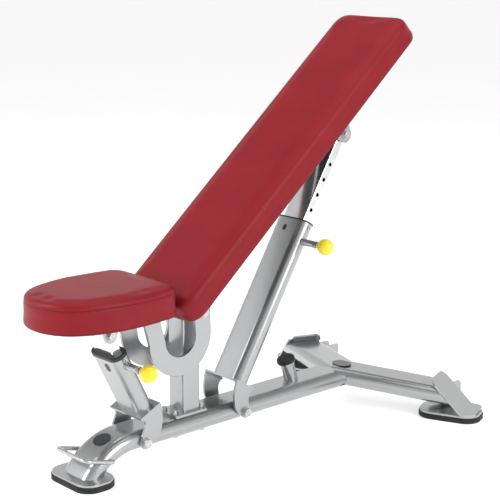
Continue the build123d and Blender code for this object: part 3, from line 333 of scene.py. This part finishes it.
def outline_at(obj, height, count):
    """The pad's outer outline at one height, as evenly spaced points."""
    mesh = bmesh.new()
    mesh.from_mesh(obj.data)
    cut = bmesh.ops.bisect_plane(
        mesh, geom=mesh.verts[:] + mesh.edges[:] + mesh.faces[:], plane_co=(0, 0, height), plane_no=(0, 0, 1)
    )["geom_cut"]
    ring = {e for e in cut if isinstance(e, bmesh.types.BMEdge)}
    loops = []
    while ring:
        edge = ring.pop()
        chain = [edge.verts[0], edge.verts[1]]
        while True:
            ahead = [e for e in chain[-1].link_edges if e in ring]
            if not ahead:
                break
            ring.discard(ahead[0])
            chain.append(ahead[0].other_vert(chain[-1]))
        loops.append([v.co.copy() for v in chain])
    mesh.free()

    def reach(points):
        return sum((b - a).length for a, b in zip(points, points[1:]))

    loop = max(loops, key=reach)
    if (loop[0] - loop[-1]).length > 1e-6:
        loop.append(loop[0].copy())
    step = reach(loop) / count
    points = []
    travelled = 0.0
    for a, b in zip(loop, loop[1:]):
        length = (b - a).length
        while len(points) < count and travelled + length >= step * len(points):
            share = (step * len(points) - travelled) / length if length else 0
            points.append(a.lerp(b, share))
        travelled += length
    for _ in range(2):
        points = [
            (points[i - 1] + points[i] * 2 + points[(i + 1) % len(points)]) / 4 for i in range(len(points))
        ]
    return points


def ring_tube(name, points, radius, sides=8):
    """A closed round cord through points that lie at one height."""
    verts = []
    count = len(points)
    for i, point in enumerate(points):
        along = (points[(i + 1) % count] - points[i - 1]).normalized()
        out = along.cross(Vector((0, 0, 1)))
        for k in range(sides):
            turn = 2 * math.pi * k / sides
            verts.append(point + out * (radius * math.cos(turn)) + Vector((0, 0, radius * math.sin(turn))))
    faces = []
    for i in range(count):
        for k in range(sides):
            ahead = ((i + 1) % count) * sides
            faces.append((i * sides + k, i * sides + (k + 1) % sides, ahead + (k + 1) % sides, ahead + k))
    data = bpy.data.meshes.new(name)
    data.from_pydata(verts, [], faces)
    data.update()
    obj = bpy.data.objects.new(name, data)
    bpy.context.scene.collection.objects.link(obj)
    return obj


def smooth(obj):
    for face in obj.data.polygons:
        face.use_smooth = True


def cushion(node, body, name, space, seams):
    """A padded, sewn cushion in place of a CAD cushion.

    Each seam is a depth, a height and a cord radius. A height above zero counts down from the face,
    and one below zero counts up from the base.
    """
    obj = pad_mesh(node, space, name)
    low = min(v.co.z for v in obj.data.vertices)
    high = max(v.co.z for v in obj.data.vertices)
    relax(obj, 3, low + BOARD_LEVEL)
    inflate(obj, low)
    relax(obj, 6, low + BOARD_LEVEL)
    subdivide(obj)
    pieces = [obj]
    for number, (depth, height, radius) in enumerate(seams, 1):
        level = high - height if height > 0 else low - height
        groove(obj, level, depth, SEAM_WIDTH)
        points = outline_at(obj, level, SEAM_POINTS)
        cord = ring_tube(f"{name}_seam_{number}", points, radius)
        # the cord's dark red is painted shade along the sewn line's crease
        dress(cord, THREAD_AND_SHADE)
        pieces.append(cord)
    dress(obj, MATERIALS["upholstery"])
    for piece in pieces:
        piece.data.transform(space)
        smooth(piece)
        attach(piece, body)
    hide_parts(node)


back_tilt = next(j for j in frame["record"]["behaviour"]["joints"] if j["name"] == "back_tilt")
hinge = Vector(back_tilt["pos_m"])
BACK_TILT = math.radians(40.2)
SIDE_SEAM = (1.2 * MM, 17 * MM, 0.7 * MM)
BASE_SEAM = (0.8 * MM, -5 * MM, 0.7 * MM)
cushion("seat_cushion", "seat", "seat_pad", pad_space(0, hinge), [SIDE_SEAM, BASE_SEAM])
cushion("back_cushion", "backrest", "back_pad", pad_space(BACK_TILT, hinge), [BASE_SEAM])


# ---------------------------------------------------------------- studio
FLOOR_HALF = 60
FLOOR_GLOW = 0.5


def floor():
    """A pale floor that gives off a little light, so that it stays white to its far edge."""
    mat = Mat("floor", Emission_Color=(1, 1, 1, 1), Emission_Strength=FLOOR_GLOW)
    mat.feed("Base Color", mat.ramp(mat.noise(3, 2), (0.80, 0.80, 0.80), (0.82, 0.82, 0.82)))
    mat.feed("Roughness", mat.span(mat.noise(8, 2), 0.75, 0.85))
    half = FLOOR_HALF
    corners = [(-half, -half, 0), (half, -half, 0), (half, half, 0), (-half, half, 0)]
    data = bpy.data.meshes.new("studio_floor")
    data.from_pydata(corners, [], [(0, 1, 2, 3)])
    obj = bpy.data.objects.new("studio_floor", data)
    bpy.context.scene.collection.objects.link(obj)
    dress(obj, mat.material)


def softbox(name, place, target, size, power):
    light = bpy.data.lights.new(name, "AREA")
    light.shape = "RECTANGLE"
    light.size, light.size_y = size
    light.energy = power
    obj = bpy.data.objects.new(name, light)
    obj.location = place
    obj.rotation_euler = (Vector(target) - Vector(place)).to_track_quat("-Z", "Y").to_euler()
    bpy.context.scene.collection.objects.link(obj)


floor()
MIDDLE = (0, 0, 0.45)
softbox("key", (-1.6, -3.2, 2.6), MIDDLE, (2.4, 2.4), 95)
softbox("side", (3.4, 0.4, 1.9), MIDDLE, (1.6, 2.2), 55)
softbox("top", (0.2, 0.2, 3.6), MIDDLE, (3.2, 3.2), 45)


def studio_world():
    """A white studio: bright round the horizon and darker overhead."""
    world = bpy.data.worlds.new("studio")
    world.use_nodes = True
    nodes, links = world.node_tree.nodes, world.node_tree.links
    split = nodes.new("ShaderNodeSeparateXYZ")
    links.new(nodes.new("ShaderNodeTexCoord").outputs["Generated"], split.inputs["Vector"])
    upward = nodes.new("ShaderNodeValToRGB")
    upward.color_ramp.elements[0].position = 0.30
    upward.color_ramp.elements[0].color = (1, 1, 1, 1)
    upward.color_ramp.elements[1].position = 0.75
    upward.color_ramp.elements[1].color = (0.30, 0.30, 0.30, 1)
    links.new(split.outputs["Z"], upward.inputs["Fac"])
    links.new(upward.outputs["Color"], nodes["Background"].inputs["Color"])
    nodes["Background"].inputs["Strength"].default_value = 1.0
    bpy.context.scene.world = world


studio_world()

# ---------------------------------------------------------------- camera
AZIMUTH = math.radians(47.85)
ELEVATION = math.radians(13.03)
TARGET = Vector((0.0284, 0.0261, 0.4608))
DISTANCE = 3.30
SENSOR = 36
LENS = 100.3
camera = bpy.data.cameras.new("camera")
camera.sensor_width = SENSOR
camera.lens = LENS
camera.clip_end = 60
viewer = bpy.data.objects.new("camera", camera)
back = Vector(
    (
        math.sin(AZIMUTH) * math.cos(ELEVATION),
        -math.cos(AZIMUTH) * math.cos(ELEVATION),
        math.sin(ELEVATION),
    )
)
viewer.location = TARGET + back * DISTANCE
viewer.rotation_euler = back.to_track_quat("Z", "Y").to_euler()
bpy.context.scene.collection.objects.link(viewer)
bpy.context.scene.camera = viewer
bpy.context.scene.view_settings.view_transform = "Standard"
